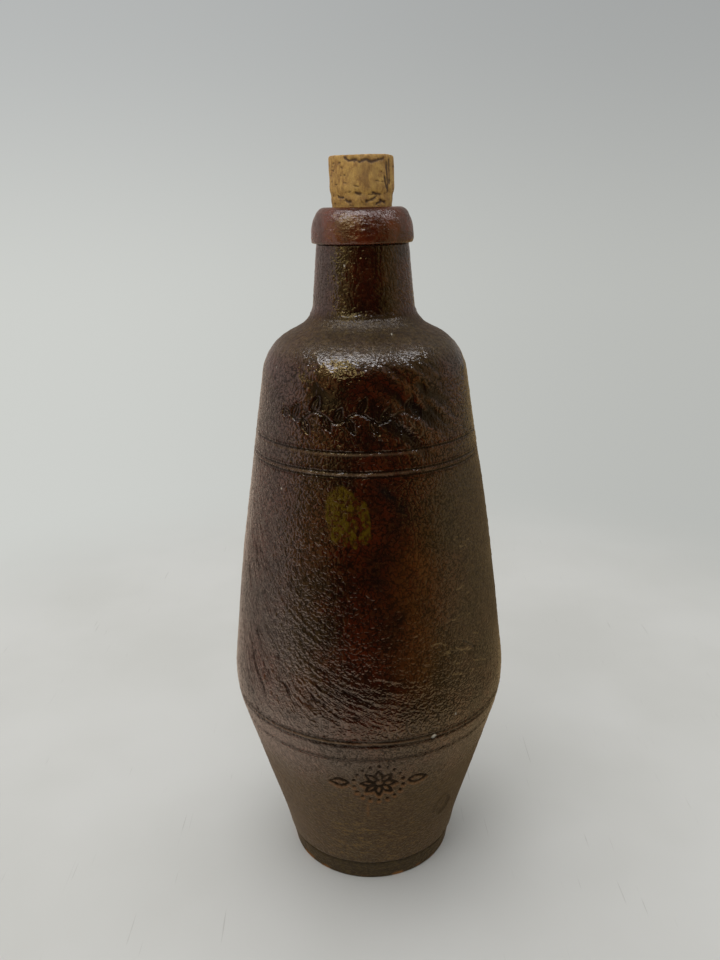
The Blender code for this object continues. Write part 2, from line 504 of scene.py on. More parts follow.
# How steeply the wrinkles fall to the right, in degrees, at azimuths round the wall
WRINKLE_AZIMUTHS = (-180, -110, -62, -25, 4, 60, 120, 180)
WRINKLE_FALLS = (40, 60, 60, 32, 14, 14, 28, 40)
FOLD_FALL = 43.0
# The low ring at the neck's base, and how far it runs aslant
NECK_RING_HEIGHT = 224.4
NECK_RING_TILT = 0.405


def wrinkle_strength(degrees, height, points):
    """Where the skin of the wall is pulled into wrinkles, from 0 to a little over 1."""
    flank = bump_at(degrees, -52, 34) * bump_at(height, 118, 62)
    belly = bump_at(degrees, -10, 28) * bump_at(height, 92, 12)
    back = bump_at(np.abs(degrees), 165, 45) * bump_at(height, 120, 50)
    right = 0.45 * bump_at(degrees, 95, 38) * bump_at(height, 150, 40)
    patchy = 0.75 + 0.45 * noise(points, 16, 31)
    return np.clip((flank + belly + 0.8 * back + right) * patchy, 0, 1.15)


def smeared(points, normals, degrees, fall, size, reach, seed):
    """Noise smeared along lines that fall to the right by so many degrees: branching ridges."""
    fall = np.radians(fall) + np.zeros(degrees.shape)
    turn = np.radians(degrees)
    right = np.stack([np.cos(turn), np.sin(turn), np.zeros_like(turn)], -1)
    down = np.cross(normals, right)
    down = np.where(down[..., 2:] > 0, -down, down)
    line = right * np.cos(fall)[..., None] + down * np.sin(fall)[..., None]
    total = np.zeros(degrees.shape)
    for step in np.linspace(-reach, reach, 9):
        total = total + noise(points + line * step, size, seed)
    return total / 3.2


def scored_lines(height, points):
    """The turner's lines, which wander and vary: relief, darkening in the cuts for pooled glaze and painted
    shade, burrs, and a painted highlight on some lower burrs.
    """
    lift, pools_and_shade, burrs, ribs = (np.zeros(height.shape) for _ in range(4))
    level = stretched(points, 1, 1, 0.02)
    for index, (centre, depth, rib_highlighted) in enumerate(TURNED_LINES):
        seed = 61 + index
        below = centre + 0.12 * noise(level, 14, seed) - height
        varied = depth * np.clip(0.75 + 0.55 * noise(level, 6, seed + 1), 0.15, 1.3)
        distance = np.abs(below)
        lift += incised(distance, varied, LINE_HALF_WIDTH)
        # Darkening in the cut: pooled glaze with painted shade
        pools_and_shade = np.maximum(pools_and_shade, smooth(0.55, 0.15, distance))
        burrs = np.maximum(burrs, burred(distance, LINE_HALF_WIDTH))
        if rib_highlighted:
            # A painted highlight on the burr below the cut
            rib = bump_at(below, BURR_OFFSET * LINE_HALF_WIDTH, 0.8 * LINE_HALF_WIDTH)
            ribs = np.maximum(ribs, rib)
    return lift, pools_and_shade, burrs, ribs


def folds(across, height, degrees, points, normals):
    """Rope-like folds at the shoulder, which fall to the right: relief, painted shade in the valleys and a
    painted highlight on the crests.
    """
    ropes = smeared(points, normals, degrees, FOLD_FALL, 2.2, 9.0, 41)
    front = bump_at(across, 17, 15) * bump_at(height, 194, 14)
    fan = 0.8 * bump_at(across, -17, 7) * bump_at(height, 205, 7)
    back = 0.7 * bump_at(np.abs(degrees), 150, 40) * bump_at(height, 190, 18)
    share = np.clip(front + fan + back, 0, 1)
    # The second share is painted shade in the valleys, the third a painted highlight on the crests
    return 0.80 * ropes * share, share * smooth(0.0, -0.4, ropes), share * smooth(0.05, 0.45, ropes)


def skin_relief(height, points, strength, calm, wrinkles, cells):
    """Slow waves of the wall, wrinkles, orange peel, and ripples where the shoulder turns."""
    lift = 0.10 * noise(stretched(points, 0.25, 0.25, 1), 9, 11)
    lift += 0.16 * noise(stretched(points, 0.5, 0.5, 1), 30, 12)
    off_cone = smooth(30, 55, height)
    below_neck = smooth(226, 216, height)
    lift += wrinkles * (0.04 * below_neck + 0.96 * strength) * (0.35 + 0.65 * off_cone)
    fine = 0.55 - 0.3 * smooth(194, 202, height)
    peel = cells + fine * np.abs(noise(points, 0.95, 24)) - 0.4
    lift += 0.150 * peel * (0.3 + 0.7 * off_cone) * (1 - 0.55 * strength) * (1 - 0.35 * calm)
    lift += 0.13 * noise(stretched(points, 0.6, 0.6, 1.2), 2.3, 25) * bump_at(height, 206, 6)
    return lift


def neck_ring(degrees, height):
    """The low ring at the neck's base, with a groove below it."""
    above = height - NECK_RING_HEIGHT - NECK_RING_TILT * np.sin(np.radians(degrees - 10))
    return 0.16 * bump_at(above, 0, 0.30) - 0.10 * bump_at(above, -0.7, 0.35)


# ---------------------------------------------------------------- colour marks of the wall

# Where the ornament of the shoulder lies
GARLAND_LOW = (-33, 181)
GARLAND_HIGH = (20, 207)
# The olive splash's lobes, as (centre, half sizes, lean)
OLIVE_LOBES = (
    ((-8.9, 164.6), (5.6, 6.6), 8),
    ((-8.3, 157.6), (4.9, 4.6), 0),
    ((-0.9, 160.0), (1.9, 6.4), 8),
    ((-11.2, 153.6), (1.4, 2.6), -8),
    ((-7.6, 152.6), (1.3, 2.3), 0),
    ((-4.4, 152.6), (1.2, 2.6), 8),
    ((-1.6, 153.6), (1.1, 2.0), 14),
    ((-13.0, 160.4), (1.5, 2.0), 20),
)
# Fields of tan scratches: count, two corners of the rectangle, length, seed, and how much fainter
SCRATCH_FIELDS = (
    (16, (24, 94), (48, 150), 2.6, SEED + 1, 0),
    (7, (20, 98), (42, 114), 6.0, SEED + 5, 0),
    (90, (-20, 11), (16, 34), 2.6, SEED + 2, 0.03),
    (30, (-140, 20), (-60, 190), 3.0, SEED + 3, 0),
    (24, (70, 20), (150, 190), 3.0, SEED + 4, 0),
)
# Pits and chips, as (centre, half width); the last pit is the nick at the foot's edge
PITS = (((19.7, 100.2), 0.5), ((35.0, 98.0), 0.35), ((-31.0, 146.0), 0.35), ((36.2, 9.8), 1.0))
PALE_CHIPS = (
    ((23.4, 77.6), 1.0),
    ((33.0, 84.0), 0.4),
    ((-33.1, 167.2), 0.4),
    ((-37.0, 208.0), 0.32),
    ((-6.6, 241.5), 0.32),
    ((9.5, 219.0), 0.3),
)
SMEAR_CENTRE = (6.8, 168)


def olive_patch(across, height, points):
    """A splash of olive glaze, from 0 to 1: a broad lobe, a narrow one beside it, and fingers below."""
    shift_a = across + 0.7 * noise(points, 3.0, 51)
    shift_h = height + 0.7 * noise(points, 3.0, 52)
    lobes = [ellipse(shift_a, shift_h, centre, half, lean) for centre, half, lean in OLIVE_LOBES]
    inside = smooth(1.12, 0.86, np.minimum.reduce(lobes))
    gap = smooth(1.3, 0.7, ellipse(shift_a, shift_h, (-3.4, 159.4), (0.8, 4.6), 14))
    specks = smooth(0.12, 0.38, noise(points, 0.8, 53) + 0.5 * noise(points, 1.8, 54))
    return np.clip(inside * (1 - 0.85 * gap) * (1 - 0.75 * specks), 0, 1)


def dull_skin(degrees, height, points):
    """Where the salt took badly and the skin is dull: right flank, cone, shoulder's top and back."""
    cloud = 0.35 * noise(points, 15, 82) + 0.15 * noise(points, 4, 83)
    right = bump_at(degrees, 68, 34) * smooth(86, 112, height) * smooth(188, 160, height)
    cone = smooth(70, 46, height + 8 * cloud)
    top = smooth(208, 214, height) * smooth(226, 222, height)
    back = 0.8 * bump_at(np.abs(degrees), 178, 30) * bump_at(height, 150, 40)
    return np.clip((right + 0.8 * back) * (1 + cloud) + cone + 0.85 * top, 0, 1)


def scratches(across, height, count, low, high, length, seed):
    """The distance to short, ragged, nearly level strokes scattered over a rectangle of the wall."""
    rng = np.random.default_rng(seed)
    strokes = []
    for _ in range(count):
        start = rng.uniform(low, high)
        joints = rng.integers(3, 6)
        runs = rng.uniform(0.1, 0.5, joints) * length
        falls = runs * rng.normal(-0.15, 0.45, joints)
        strokes.append(np.stack([start[0] + np.cumsum(runs), start[1] + np.cumsum(falls)], -1))
    margin = 3 * length
    outer_low = (low[0] - margin, low[1] - margin)
    outer_high = (high[0] + margin, high[1] + margin)
    return drawn(across, height, outer_low, outer_high, strokes)


def tan_marks(across, height, points):
    """Tan scratches where the iron glaze is rubbed through."""
    distances = []
    for count, low, high, length, seed, fainter in SCRATCH_FIELDS:
        distances.append(fainter + scratches(across, height, count, low, high, length, seed))
    nearest = np.minimum.reduce(distances)
    return 0.6 * smooth(0.32, 0.08, nearest + 0.12 * noise(points, 0.9, 84))


def crack_marks(across, height):
    """A firing crack on the right, a few pits, and the nick at the foot's edge."""
    crack = drawn(across, height, (28, 98), (52, 118), sweep((37.0, 110.5), (43.5, 106.0), -0.5))
    return np.maximum(smooth(0.5, 0.15, crack), spots(across, height, PITS, 1.2))


def smudges(across, height, points):
    """Dark smears of iron: one falls to the right below the shoulder lines, one is on the belly."""
    beside, above = (across - SMEAR_CENTRE[0]) * 0.7, (height - SMEAR_CENTRE[1]) * 0.7
    smear = bump_at(beside + above, 0, 1.6) * bump_at(beside - above, 0, 7)
    broken = np.clip(0.6 + 1.1 * noise(points, 2.2, 85), 0, 1)
    smear += 0.35 * bump_at(across, 4, 5) * bump_at(height, 130, 13) * broken
    return np.clip(smear * (0.8 + 0.5 * noise(points, 3, 81)), 0, 1)


def wall_marks(across, height, degrees, points, slope):
    """Relief of the outer wall in millimetres, and the marks that its glaze reads, from 0 to 1, among them
    painted shade and painted highlights.
    """
    strength = wrinkle_strength(degrees, height, points)
    fall = np.interp(degrees, WRINKLE_AZIMUTHS, WRINKLE_FALLS)
    ridges = 2 * np.abs(smeared(points, slope, degrees, fall, 1.2, 5.0, 21)) - 0.7
    broader = smeared(points, slope, degrees, fall, 2.2, 5.0, 22)
    cells = np.abs(noise(points, 1.6, 23))
    calm = bump_at(degrees, 14, 30) * smooth(88, 104, height) * smooth(176, 150, height)
    scored, pools_and_shade, burrs, ribs = scored_lines(height, points)
    ropes, valleys, crests = folds(across, height, degrees, points, slope)
    stems = drawn(across, height, GARLAND_LOW, GARLAND_HIGH, garland())
    stamp, rust = stamped(across, height, points)
    seal, seal_dark = oval_seal(across, height)
    patch = olive_patch(across, height, points)
    cracks = crack_marks(across, height)
    chips = spots(across, height, PALE_CHIPS, 1.25, 0.8, 20)
    dull = dull_skin(degrees, height, points)

    lift = skin_relief(height, points, strength, calm, 0.205 * ridges + 0.095 * broader, cells)
    lift += scored + ropes + incised(stems, 0.36, STEM_HALF_WIDTH) + seal + neck_ring(degrees, height)
    lift += 0.06 * patch - 0.38 * stamp - 0.35 * cracks - 0.25 * chips

    # Painted shade in the creases between the peel's cells
    peel_crease_shade = 0.5 * smooth(0.16, 0.02, cells) * (1 - 0.6 * strength) * (1 - 0.9 * dull)
    neck_calm = smooth(194, 202, height) * (0.55 - 0.17 * smooth(216, 222, height))
    shiny_shoulder = smooth(190, 204, height) * smooth(217, 211, height)
    # Where the painted highlight on the burrs is strongest: the front
    rib_front = (0.15 + 0.85 * bump_at(degrees, -14, 36)) * (0.8 + 0.4 * noise(points, 2.5, 87))
    amber = bump_at(across, 16, 8) * smooth(88, 104, height) * smooth(162, 142, height)
    # Real smudges and cracks, darkening at the seal's rim, and painted shade in the folds' valleys
    dark = smudges(across, height, points) + cracks + 0.6 * seal_dark + 0.7 * valleys
    marks = {
        # Painted shade in peel seams, fold valleys, cut lines and stems; in the cuts it also stands for
        # pooled glaze
        "mark_crease": np.maximum.reduce([peel_crease_shade, pools_and_shade, valleys, smooth(0.50, 0.15, stems)]),
        "mark_burr": np.maximum(burrs, burred(stems, STEM_HALF_WIDTH)),
        # Painted highlight on the lower burrs of some cut lines
        "mark_rib_highlight": ribs * rib_front,
        # Low in the wrinkles' valleys, where the colour gets painted shade
        "mark_ridge": np.clip(0.5 + (0.5 * ridges + 0.2 * broader) * (0.1 + strength), 0, 1),
        # Painted highlight on the folds' crests
        "mark_crest_highlight": crests,
        "mark_hair": strength * smooth(100, 80, np.abs(degrees)),
        "mark_calm": np.maximum(0.56 * calm, neck_calm),
        "mark_dim": bump_at(degrees, -6, 20) * smooth(102, 116, height) * smooth(160, 144, height),
        "mark_dull": dull,
        "mark_rough": dull * (1 - 0.8 * shiny_shoulder),
        "mark_amber": amber * np.clip(0.75 + 0.6 * noise(points, 5, 86), 0, 1),
        # Smudges, cracks and the seal's rim, with painted shade in the folds' valleys
        "mark_dark_and_shade": np.clip(dark, 0, 1),
        "mark_patch": patch,
        "mark_stamp": stamp,
        "mark_rust": rust,
        "mark_tan": tan_marks(across, height, points),
        "mark_pale": chips,
    }
    return lift, marks


# ---------------------------------------------------------------- the three pieces

# The cork's cracks, as (start, end, sag): level and upright ones, then short ones over the lip
CORK_CRACKS = (
    ((1.6, 262.2), (4.6, 263.3), 0.2),
    ((4.0, 264.9), (7.0, 264.3), 0.2),
    ((5.6, 261.4), (7.6, 262.3), 0.2),
    ((9.6, 274.6), (10.4, 265.5), 0.3),
    ((10.9, 275.4), (11.4, 268.0), 0.3),
    ((8.6, 270.0), (9.6, 266.6), 0.3),
    ((-9.6, 263.8), (-7.2, 263.4), 0.15),
    ((-6.1, 262.6), (-4.3, 262.2), 0.15),
    ((7.1, 262.4), (9.3, 262.0), 0.15),
    ((-2.2, 265.0), (-0.6, 264.6), 0.15),
)
# A ragged crack that runs along the cork's top edge
RIM_CRACK_ACROSS = (-6.0, -4.4, -2.6, -0.6, 1.8, 3.4, 5.6, 8.2)
RIM_CRACK_HEIGHTS = (276.2, 275.2, 275.5, 274.9, 275.4, 274.7, 275.2, 275.9)
LENTICELS = 170


def wall_spacing(height, radius):
    """How far apart the rows of the outer wall lie, in millimetres."""
    step = np.full(height.shape, 0.55)
    step = np.where((height > 80) & (height < 150), 0.45, step)
    step = np.where((height > 183) & (height < 206), 0.3, step)
    step = np.where((height > 44) & (height < 70), 0.36, step)
    for centre, _, _ in TURNED_LINES:
        step = np.where(np.abs(height - centre) < 1.3, 0.2, step)
    return np.where(height < 11, 0.35, step)


def foot_spacing(height, radius):
    """How far apart the rows of the foot lie: close on its band, wide under it."""
    return np.where(radius < 32, 1.6, 0.35)


def stoneware_piece(material):
    """The bottle's body: plain inside, marked outer wall, rough foot."""
    azimuths = spaced_azimuths(70, 0.42, 1.0)
    inside = respaced(hollow_outline(), 2.0)
    wall = respaced(outer_wall(), wall_spacing)
    foot = respaced(foot_outline(), foot_spacing)[1:]
    outline = np.concatenate([inside[:-1], wall, foot])
    rows = slice(len(inside) - 1, len(inside) - 1 + len(wall))
    foot_rows = slice(rows.stop, len(outline))
    grid, slope = spun(outline, azimuths, False)
    degrees = degrees_of(azimuths, grid)[rows]
    height = grid[rows, :, 2]
    across = np.radians(degrees) * outline[rows, 0][:, None]
    foot_points = grid[foot_rows]
    foot_radius = np.hypot(foot_points[..., 0], foot_points[..., 1])
    foot_height = foot_points[..., 2]

    lift = 0.12 * noise(grid, 6, 91) * (grid[..., 2] < SPIGOT_TOP - 12)
    wall_lift, wall_only = wall_marks(across, height, degrees, grid[rows], slope[rows])
    lift[rows] = wall_lift * smooth(0, 0.8, COLLAR_UNDERSIDE - FIT_GAP - height)
    rough = 0.10 * noise(foot_points, 2.2, 92) + 0.16 * noise(foot_points, 7, 93)
    lift[foot_rows] = rough * smooth(0.3, 2.5, foot_height)

    marks = {name: np.zeros(grid.shape[:2]) for name in (*wall_only, "mark_bare", "mark_inside")}
    for name, values in wall_only.items():
        marks[name][rows] = values
    rubbed = smooth(2.8, 0.9, foot_height) * smooth(-0.25, 0.25, noise(foot_points, 5, 94))
    marks["mark_bare"][foot_rows] = np.maximum(rubbed, smooth(32.5, 31.5, foot_radius))
    marks["mark_dull"][foot_rows] = 1
    marks["mark_rough"][foot_rows] = 1
    marks["mark_pale"][foot_rows] = 0.04
    marks["mark_dark_and_shade"][foot_rows] = bump_at(foot_height, 8.9, 0.55)
    marks["mark_inside"][: rows.start] = 1

    grid = grid + slope * lift[..., None]
    grid[foot_rows, :, 2] = np.maximum(grid[foot_rows, :, 2], 0)
    return mesh_piece("stoneware_body_glazed", grid, False, marks, material)


def collar_outline():
    """The collar's section: out over its half-round, in along its underside and up the bore."""
    quarter = np.linspace(math.pi / 2, 0, 40)
    radius = LIP_FLAT_RADIUS + (COLLAR_RADIUS - LIP_FLAT_RADIUS) * np.cos(quarter)
    height = COLLAR_WIDEST_HEIGHT + (LIP_HEIGHT - COLLAR_WIDEST_HEIGHT) * np.sin(quarter)
    rest = rounded(
        [
            (COLLAR_RADIUS, COLLAR_WIDEST_HEIGHT, 0),
            (COLLAR_RADIUS - 0.15, COLLAR_UNDERSIDE + 0.7, 0),
            (COLLAR_RADIUS - 0.45, COLLAR_UNDERSIDE, 0.35),
            (SPIGOT_RADIUS + FIT_GAP, COLLAR_UNDERSIDE, 0),
            (SPIGOT_RADIUS + FIT_GAP, SPIGOT_TOP + FIT_GAP, 0),
            (BORE_RADIUS, SPIGOT_TOP + FIT_GAP, 0),
            (BORE_RADIUS, LIP_HEIGHT, 0.8),
            (LIP_FLAT_RADIUS, LIP_HEIGHT, 0),
        ],
        math.radians(15),
    )
    return np.concatenate([np.stack([radius, height], -1), rest[1:]])


def collar_piece(material):
    """The collar, uneven on its outside, with a lower edge that runs a little aslant."""
    outline = respaced(collar_outline(), 0.3)[:-1]
    azimuths = spaced_azimuths(60, 0.7, 1.1)
    grid, slope = spun(outline, azimuths, True)
    radius, height = outline[:, 0][:, None], outline[:, 1][:, None]
    outer = smooth(14.6, 15.6, radius) * smooth(COLLAR_UNDERSIDE - 0.1, COLLAR_UNDERSIDE + 0.5, height)
    lift = 0.05 * noise(stretched(grid, 0.15, 0.15, 1), 1.6, 101) + 0.10 * noise(grid, 8, 102)
    lift += 0.11 * noise(stretched(grid, 0.7, 0.7, 1), 1.25, 103) + 0.05 * noise(grid, 0.8, 104)
    lift = lift * outer + 0.03 * noise(grid, 1.5, 105) * (1 - outer)
    grid = grid + slope * lift[..., None]
    grid[..., 2] += 0.28 * np.sin(azimuths)[None, :] * smooth(251.5, 248.6, height) * outer
    return mesh_piece("lip_collar_glazed", grid, True, {}, material)


def cork_outline():
    """The cork from its top down: a head swollen over the lip, and a shank in the bore."""
    return rounded(
        [
            (CORK_FAN_RADIUS, CORK_TOP - 0.1, 0),
            (CORK_HEAD_RADIUS, CORK_TOP, 0.8),
            (CORK_HEAD_RADIUS, 265.2, 4.0),
            (BORE_RADIUS - FIT_GAP, 261.2, 4.0),
            (BORE_RADIUS - FIT_GAP, CORK_BOTTOM, 0.8),
            (CORK_FAN_RADIUS, CORK_BOTTOM, 0),
        ],
        math.radians(8),
    )


def cork_piece(material):
    """The cork, pitted and ragged above the lip and nearly smooth in the bore."""
    azimuths = np.radians(np.arange(0, 360, 1.5) - 180)
    grid, slope = spun(respaced(cork_outline(), 0.3), azimuths, False)
    height = grid[..., 2]
    across = np.radians(degrees_of(azimuths, grid)) * CORK_HEAD_RADIUS
    side = smooth(0.2, 0.6, slope[..., 0] ** 2 + slope[..., 1] ** 2)
    grain = noise(stretched(grid, 1, 1, 0.35), 0.9, 111)
    pits = cork_pits(grid, across, height, side)
    lift = 0.07 * grain + 0.15 * noise(grid, 3.5, 112) - 0.35 * bump_at(height, 264.4, 1.3) * side
    lift -= 0.38 * pits
    lift = lift * smooth(-0.2, 0.6, height - LIP_HEIGHT) + 0.02 * grain * (height < LIP_HEIGHT)
    ragged = smooth(CORK_TOP - 1.6, CORK_TOP - 0.2, height) * side
    lift -= 0.35 * ragged * smooth(0.0, 0.6, noise(grid, 2.4, 113))
    grid = grid + slope * lift[..., None]
    broken = smooth(-0.45, 0.35, noise(stretched(grid, 1, 1, 0.5), 1.5, 117))
    stain = bump_at(across, 1.8, 3.2) * bump_at(height, 270.4, 4.4) * broken
    marks = {"mark_pit": pits, "mark_stain": stain * side}
    return mesh_piece("cork_stopper_natural", grid, False, marks, material)


def cork_pits(grid, across, height, side):
    """Lenticels, cracks and pores of natural cork, from 0 to 1."""
    rng = np.random.default_rng(SEED + 26)
    pits = np.zeros(across.shape)
    for _ in range(LENTICELS):
        centre = (rng.uniform(-35, 35), rng.uniform(CORK_BOTTOM, CORK_TOP))
        half = (rng.uniform(0.25, 1.1), rng.uniform(0.12, 0.3))
        reach = ellipse(across, height, centre, half, rng.normal(0, 12))
        pits = np.maximum(pits, 0.75 * smooth(1.3, 0.6, reach))
    strokes = [np.stack([RIM_CRACK_ACROSS, RIM_CRACK_HEIGHTS], -1)]
    for start, end, sag in CORK_CRACKS:
        strokes += sweep(start, end, sag)
    distance = drawn(across, height, (-12, 259), (15, 278), strokes) + 0.26 * noise(grid, 0.8, 114)
    pits = np.maximum(pits, smooth(0.62, 0.2, distance)) * side
    ends = smooth(0.35, 0.62, noise(stretched(grid, 1, 1, 0.2), 1.6, 115)) * (1 - side)
    return np.clip(pits + 0.7 * ends, 0, 1)


# ---------------------------------------------------------------- node helpers


class Field:
    """An output in a node tree. Sums, differences and products of fields add maths nodes."""

    def __init__(self, tree, socket):
        self.tree = tree
        self.socket = socket

    def __add__(self, other):
        return maths("ADD", self, other)

    def __sub__(self, other):
        return maths("SUBTRACT", self, other)

    def __rsub__(self, other):
        return maths("SUBTRACT", other, self)

    def __mul__(self, other):
        return maths("MULTIPLY", self, other)


def set_inputs(made, inputs):
    """Gives sockets of a node, by name or place, a value or a field."""
    for socket, value in inputs.items():
        if isinstance(value, Field):
            value.tree.links.new(value.socket, made.inputs[socket])
        else:
            made.inputs[socket].default_value = value


def field(tree, kind, output=0, inputs=None, **settings):
    """One output of a new node."""
    made = tree.nodes.new(kind)
    for name, value in settings.items():
        setattr(made, name, value)
    set_inputs(made, inputs or {})
    return Field(tree, made.outputs[output])


def maths(operation, first, second=0.0):
    tree = first.tree if isinstance(first, Field) else second.tree
    return field(tree, "ShaderNodeMath", 0, {0: first, 1: second}, operation=operation)


def remap(value, low, high, to_low=0.0, to_high=1.0):
    """A smooth step from one range to another."""
    inputs = {"Value": value, "From Min": low, "From Max": high, "To Min": to_low, "To Max": to_high}
    return field(value.tree, "ShaderNodeMapRange", "Result", inputs, interpolation_type="SMOOTHSTEP")


def band(value, low, high, soft):
    """1 between low and high, with soft edges."""
    return remap(value, low - soft, low + soft) * remap(value, high + soft, high - soft)


def past(turn, low, high):
    """A smooth step of an angle in radians between two angles in degrees."""
    return remap(turn, math.radians(low), math.radians(high))


def blend(share, first, second):
    """The first colour where the share is 0, and the second where it is 1."""
    ends = [color if isinstance(color, Field) else (*color, 1) for color in (first, second)]
    inputs = {0: share, 6: ends[0], 7: ends[1]}
    return field(share.tree, "ShaderNodeMix", 2, inputs, data_type="RGBA")


def scaled(vector, factor):
    inputs = {0: vector, "Scale": factor}
    return field(vector.tree, "ShaderNodeVectorMath", 0, inputs, operation="SCALE")


def parts_of(vector):
    """The x, y and z of a vector."""
    x = field(vector.tree, "ShaderNodeSeparateXYZ", "X", {0: vector})
    outputs = x.socket.node.outputs
    return x, Field(vector.tree, outputs["Y"]), Field(vector.tree, outputs["Z"])


def turn_of(x, y):
    """The azimuth of a place, in radians."""
    return maths("ARCTAN2", x, y * -1.0)


def mark(tree, name):
    return field(tree, "ShaderNodeAttribute", "Fac", attribute_name=name)


def object_point(tree, stretch=(1, 1, 1)):
    """The object's own coordinates, stretched."""
    coordinates = field(tree, "ShaderNodeTexCoord", "Object")
    return field(tree, "ShaderNodeMapping", 0, {"Vector": coordinates, "Scale": stretch})


def texture_noise(point, lumps_mm, detail=2.0, roughness=0.5):
    """Noise from 0 to 1 with lumps of about that many millimetres."""
    inputs = {"Vector": point, "Scale": 1 / (lumps_mm * MM), "Detail": detail, "Roughness": roughness}
    return field(point.tree, "ShaderNodeTexNoise", "Fac", inputs)


def stage_noise(point, scale, detail):
    """Noise from 0 to 1 at a point in metres."""
    return field(point.tree, "ShaderNodeTexNoise", "Fac", {"Vector": point, "Scale": scale, "Detail": detail})


def billow(point, lumps_mm):
    """Rounded cells with sharp creases between them, from 0 in a crease upwards."""
    return maths("ABSOLUTE", texture_noise(point, lumps_mm, 1.0) - 0.5) * 2.0


def hairlines(point, fall):
    """Fine ragged lines round the wall, from 0 to 1, that fall to the right by that many degrees."""
    x, y, z = parts_of(point)
    across = turn_of(x, y) * (50 * MM)
    cosine, sine = math.cos(math.radians(fall)), math.sin(math.radians(fall))
    along = across * cosine - z * sine
    beside = across * sine + z * cosine
    place = field(point.tree, "ShaderNodeCombineXYZ", 0, {0: along * 0.16, 1: beside})
    return texture_noise(place, 0.85, 2.0, 0.55)


def raised(skin, strength, distance):
    """The normals of a skin whose height is a field."""
    inputs = {"Height": skin, "Strength": strength, "Distance": distance}
    return field(skin.tree, "ShaderNodeBump", 0, inputs)


def new_material(name):
    """A new material with its node tree and its Principled shader."""
    material = bpy.data.materials.new(name)
    material.use_nodes = True
    return material, material.node_tree, material.node_tree.nodes["Principled BSDF"]


# ---------------------------------------------------------------- materials

GLAZE_DEEP = (0.012, 0.0026, 0.0010)
GLAZE_RED = (0.046, 0.0066, 0.0012)
GLAZE_OLIVE = (0.032, 0.017, 0.0045)
GLAZE_AMBER = (0.080, 0.024, 0.0030)
GLAZE_DULL = (0.070, 0.0455, 0.0140)
GLAZE_DULL_DARK = (0.029, 0.0180, 0.0070)
GLAZE_PATCH = (0.060, 0.036, 0.0020)
# Painted shade for the wrinkles' valleys
VALLEY_SHADE = (0.004, 0.0013, 0.0008)
# Painted highlight for the folds' crests
CREST_HIGHLIGHT = (0.045, 0.022, 0.008)
# Pooled glaze and painted shade for creases and cut lines: on the red glaze, and on the dull skin below
CREASE_POOL_AND_SHADE = (0.003, 0.0010, 0.0006)
DULL_POOL_AND_SHADE = (0.006, 0.0035, 0.0018)
# Painted highlight for the burr under some cut lines
RIB_HIGHLIGHT = (0.17, 0.11, 0.06)
BARE_CLAY_DARK = (0.20, 0.085, 0.028)
BARE_CLAY_LIGHT = (0.30, 0.145, 0.052)
UNGLAZED_INSIDE = (0.10, 0.058, 0.034)
# Marks that lie over the glaze, from the lowest up: how much they cover, and their colour. The dark one holds
# real smudges and cracks, darkening at the seal's rim and the foot's groove, and painted shade in the folds'
# valleys.
PAINTED_MARKS = (
    ("mark_dark_and_shade", 0.85, (0.006, 0.004, 0.003)),
    ("mark_tan", 1.0, (0.175, 0.112, 0.040)),
    ("mark_rust", 0.7, (0.12, 0.048, 0.010)),
    ("mark_stamp", 0.88, (0.009, 0.0055, 0.003)),
    ("mark_pale", 1.0, (0.40, 0.37, 0.31)),
)
# How much rougher than the glaze some marks are
ROUGH_MARKS = (
    ("mark_rough", 0.36),
    ("mark_bare", 0.4),
    ("mark_tan", 0.25),
    ("mark_inside", 0.4),
    ("mark_stamp", 0.3),
)
LIP_DARK = (0.036, 0.0055, 0.0020)
LIP_RED = (0.090, 0.0138, 0.0028)
LIP_STREAK = (0.018, 0.0035, 0.0018)
CORK_BROWN = (0.22, 0.105, 0.020)
CORK_TAN = (0.45, 0.255, 0.055)
CORK_PALE = (0.50, 0.31, 0.075)
CORK_PORE = (0.17, 0.085, 0.03)
CORK_STAIN = (0.15, 0.066, 0.016)
CORK_PIT = (0.055, 0.025, 0.012)


